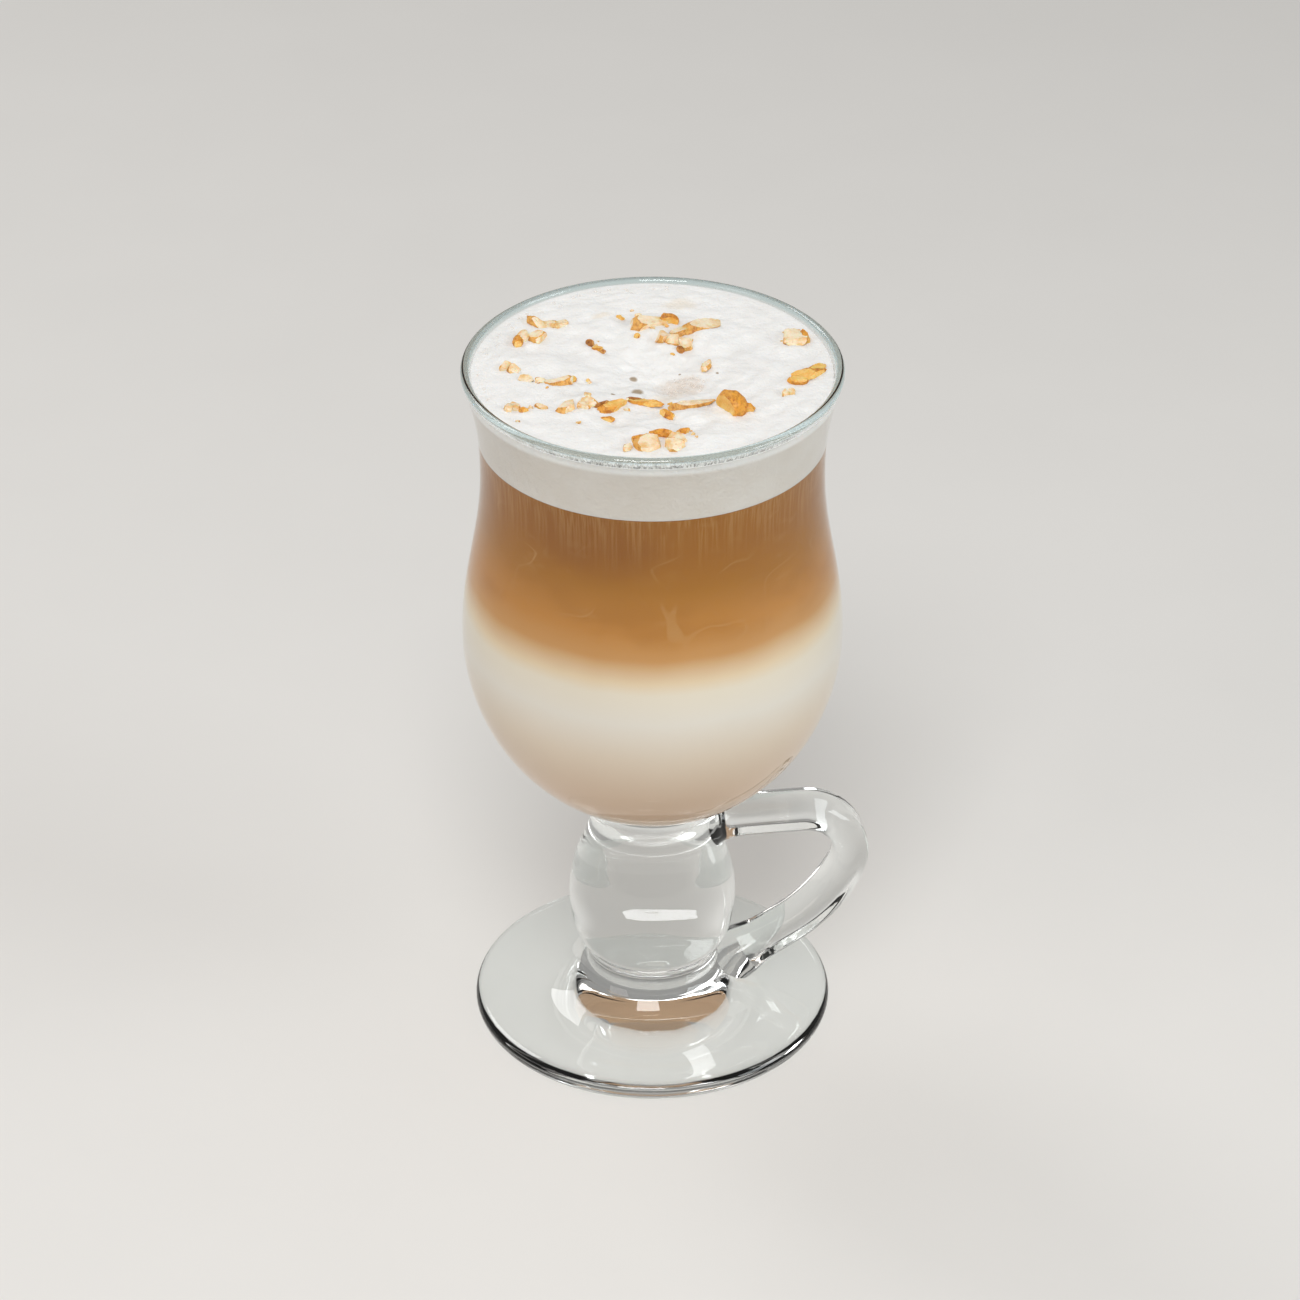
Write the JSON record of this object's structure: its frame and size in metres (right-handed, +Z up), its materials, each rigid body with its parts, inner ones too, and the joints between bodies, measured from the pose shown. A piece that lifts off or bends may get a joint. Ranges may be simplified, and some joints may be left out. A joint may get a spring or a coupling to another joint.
{
  "type": "latte in a footed glass",
  "caption": "Layered latte of milk, coffee and foam with chopped nuts, in a clear tulip-shaped glass on a solid stem and round foot, with a looped side handle.",
  "frame": {"origin": "centre of the flat underside of the glass's round foot", "axes": "+Z up along the glass's axis, +X towards the handle, which lies in the XZ plane"},
  "size_m": [0.0824, 0.0756, 0.1503],
  "materials": {
    "glass": "clear, polished, with a faint green tint where it is thick",
    "milk": "opaque cream-white milk, wet where it meets the glass",
    "coffee": "opaque milky coffee, darker under the foam, fading into the milk below",
    "foam": "fine matte milk foam with small bubbles",
    "nuts": "chopped roasted nuts, pale flesh with golden to dark brown skin"
  },
  "bodies": {
    "root": {"glass": "glass", "milk": "milk", "coffee": "coffee", "foam": "foam"}
  },
  "joints": []
}
